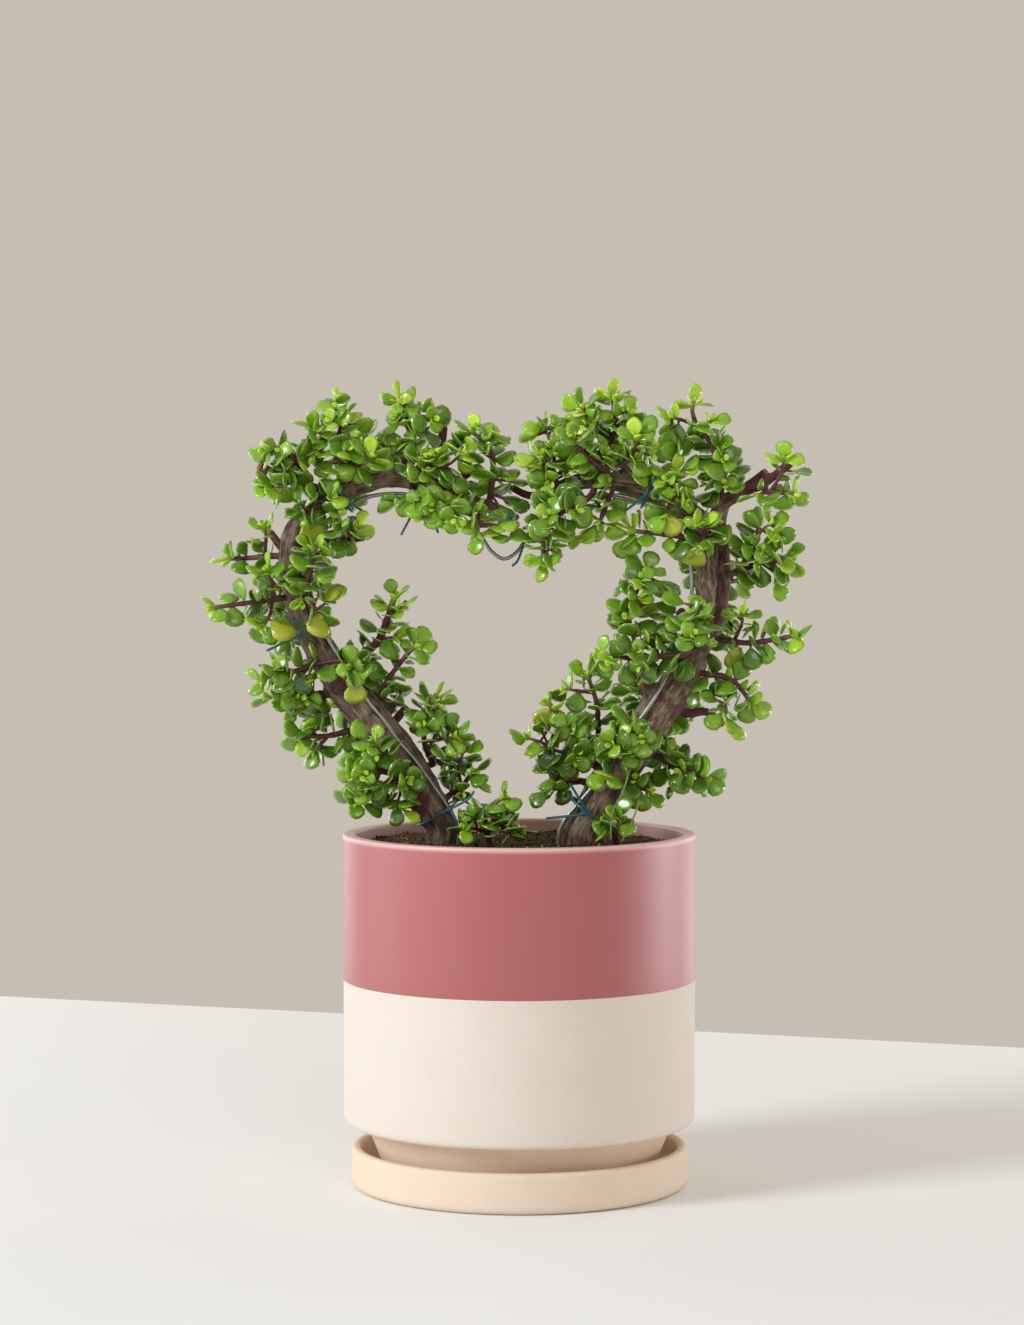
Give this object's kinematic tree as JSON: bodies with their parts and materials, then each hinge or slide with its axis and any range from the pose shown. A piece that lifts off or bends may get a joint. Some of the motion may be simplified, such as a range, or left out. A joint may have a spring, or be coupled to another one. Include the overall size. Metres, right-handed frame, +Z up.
{
  "type": "dwarf jade bonsai",
  "caption": "Dwarf jade trained into a heart on a wire with twist ties, growing in a two-tone glazed pot that stands in its saucer.",
  "frame": {"origin": "centre of the saucer's underside, on the surface that it stands on", "axes": "+Z up along the pot's axis, +X to the right along the heart, -Y towards the viewer"},
  "size_m": [0.2697, 0.1592, 0.3643],
  "materials": {
    "glaze": "pink gloss glaze over cream stoneware with a straight line between them",
    "clay": "cream unglazed stoneware, matte, finely speckled",
    "soil": "dark potting mix with gritty grains",
    "bark": "grey-brown bark, finely wrinkled",
    "leaf": "plump glossy succulent leaves, green to yellow-green",
    "tie": "dark teal plastic over a thin wire",
    "wire": "dull galvanised steel"
  },
  "bodies": {
    "root": {"pot": "glaze", "saucer": "clay", "soil": "soil", "trunk_left": "bark", "trunk_right": "bark", "support_wire": "wire", "tie_1": "tie", "tie_2": "tie", "tie_3": "tie", "tie_4": "tie", "tie_5": "tie", "tie_6": "tie", "tie_knot": "tie", "spray_left_tip": "leaf", "spray_left_upright": "leaf", "spray_left_bend": "leaf", "spray_left_arch_under": "leaf", "spray_left_arch_high": "leaf", "spray_left_arch_front": "leaf", "spray_notch_left": "leaf", "spray_left_outer_high": "leaf", "spray_left_outer": "leaf", "spray_left_middle_front": "leaf", "spray_left_inner_high": "leaf", "spray_left_shoulder": "leaf", "spray_left_low_outer": "leaf", "spray_left_low": "leaf", "spray_left_foot": "leaf", "spray_left_inner": "leaf", "spray_left_inner_stub": "leaf", "spray_left_inner_low": "leaf", "spray_left_base": "leaf", "spray_soil_left": "leaf", "spray_notch_right": "leaf", "spray_right_arch_tip": "leaf", "spray_right_arch_under": "leaf", "spray_right_arch_high": "leaf", "spray_right_arch_front": "leaf", "spray_right_top": "leaf", "spray_right_arch_outer": "leaf", "spray_right_fork": "leaf", "spray_right_bend": "leaf", "spray_right_inner_high": "leaf", "spray_right_outer_high": "leaf", "spray_right_outer": "leaf", "spray_right_outer_low": "leaf", "spray_right_inner": "leaf", "spray_right_low_inner": "leaf", "spray_right_low_stub": "leaf", "spray_right_low_front": "leaf", "spray_right_foot": "leaf", "spray_right_low_outer": "leaf", "spray_right_heel": "leaf", "spray_soil_right": "leaf", "spray_back_left": "leaf", "spray_back_left_low": "leaf", "spray_back_arch_left": "leaf", "spray_back_arch_right": "leaf", "spray_back_right": "leaf", "spray_back_right_low": "leaf"}
  },
  "joints": []
}
